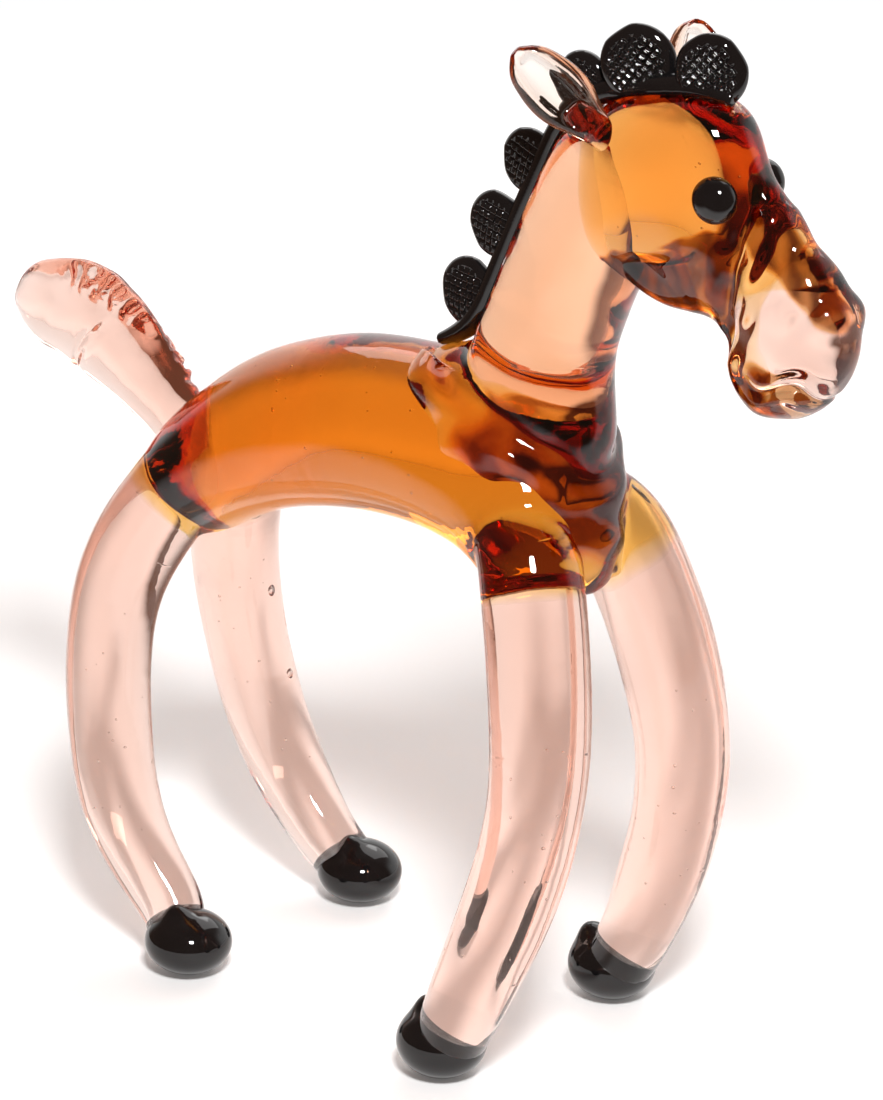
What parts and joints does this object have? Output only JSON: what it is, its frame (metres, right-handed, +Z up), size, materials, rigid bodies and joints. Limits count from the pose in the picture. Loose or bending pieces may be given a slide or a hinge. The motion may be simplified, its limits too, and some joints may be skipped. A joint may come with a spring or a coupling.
{
  "type": "glass figurine",
  "caption": "Hand-worked glass foal standing on black hooves, with an amber body and head, pale pink legs, muzzle, ears and tail, and a pressed black mane.",
  "frame": {"origin": "on the table, under the middle of the figure's bounding box", "axes": "+X is the way the foal faces, +Y its left side, +Z up"},
  "size_m": [0.3445, 0.108, 0.3327],
  "materials": {
    "amber_glass": "polished amber glass",
    "honey_glass": "polished pale honey glass",
    "blush_glass": "polished pale pink glass",
    "black_glass": "fire-polished opaque black glass"
  },
  "bodies": {
    "root": {"body": "amber_glass", "ear_left": "blush_glass", "ear_right": "blush_glass", "eye_left": "black_glass", "eye_right": "black_glass", "head": "amber_glass", "hoof_front_left": "black_glass", "hoof_front_right": "black_glass", "hoof_hind_left": "black_glass", "hoof_hind_right": "black_glass", "leg_front_left": "blush_glass", "leg_front_right": "blush_glass", "leg_hind_left": "blush_glass", "leg_hind_right": "blush_glass", "mane_button_1": "black_glass", "mane_button_2": "black_glass", "mane_button_3": "black_glass", "mane_button_4": "black_glass", "mane_button_5": "black_glass", "mane_button_6": "black_glass", "mane_ribbon": "black_glass", "muzzle": "blush_glass", "neck": "honey_glass", "tail": "blush_glass"}
  },
  "joints": []
}
